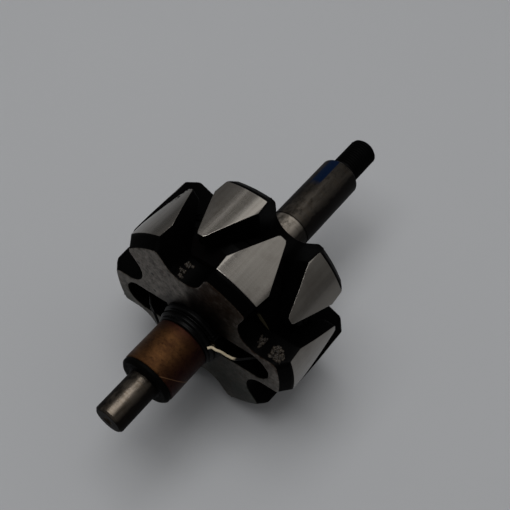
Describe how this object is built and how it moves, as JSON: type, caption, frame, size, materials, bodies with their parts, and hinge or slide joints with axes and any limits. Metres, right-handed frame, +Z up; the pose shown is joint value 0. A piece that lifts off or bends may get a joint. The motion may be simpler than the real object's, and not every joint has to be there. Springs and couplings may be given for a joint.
{
  "type": "alternator rotor",
  "caption": "Claw-pole alternator rotor: interleaved claw poles round a field winding on a stepped shaft, with a copper slip ring on the plain end and a threaded drive end.",
  "frame": {"origin": "on the shaft line, in the middle plane between the two claw poles", "axes": "+X along the shaft toward the threaded drive end, +Z up as the rotor lies on its claws"},
  "size_m": [0.156, 0.082, 0.082],
  "materials": {
    "claw_steel": "ground faces, varnish-black flanks, light rust",
    "shaft_steel": "ground and polished, tarnished",
    "core_steel": "plain",
    "bobbin_plastic": "moulded",
    "winding_copper": "enamelled and varnished",
    "coil_tape": "varnish-soaked",
    "washer_paper": "pressed paper",
    "varnish_resin": "lumpy gloss",
    "hub_plastic": "moulded gloss black",
    "ring_copper": "tarnished copper",
    "collar_plastic": "moulded black",
    "tag_brass": "dull",
    "lead_cover": "cream enamel",
    "sleeve_rubber": "matt"
  },
  "bodies": {
    "root": {"shaft": "shaft_steel", "slip_end_pole": "claw_steel", "drive_end_pole": "claw_steel", "pole_core": "core_steel", "coil_bobbin": "bobbin_plastic", "field_winding": "winding_copper", "coil_tape": "coil_tape", "slip_side_washer": "washer_paper", "drive_side_washer": "washer_paper", "slip_side_resin": "varnish_resin", "drive_side_resin": "varnish_resin", "slip_ring_hub": "hub_plastic", "slip_ring": "ring_copper", "ring_end_collar": "collar_plastic", "lead_tag_a": "tag_brass", "lead_tag_b": "tag_brass", "lead_wire_a": "lead_cover", "lead_wire_b": "lead_cover", "lead_sleeve_a": "sleeve_rubber", "lead_sleeve_b": "sleeve_rubber"}
  },
  "joints": []
}
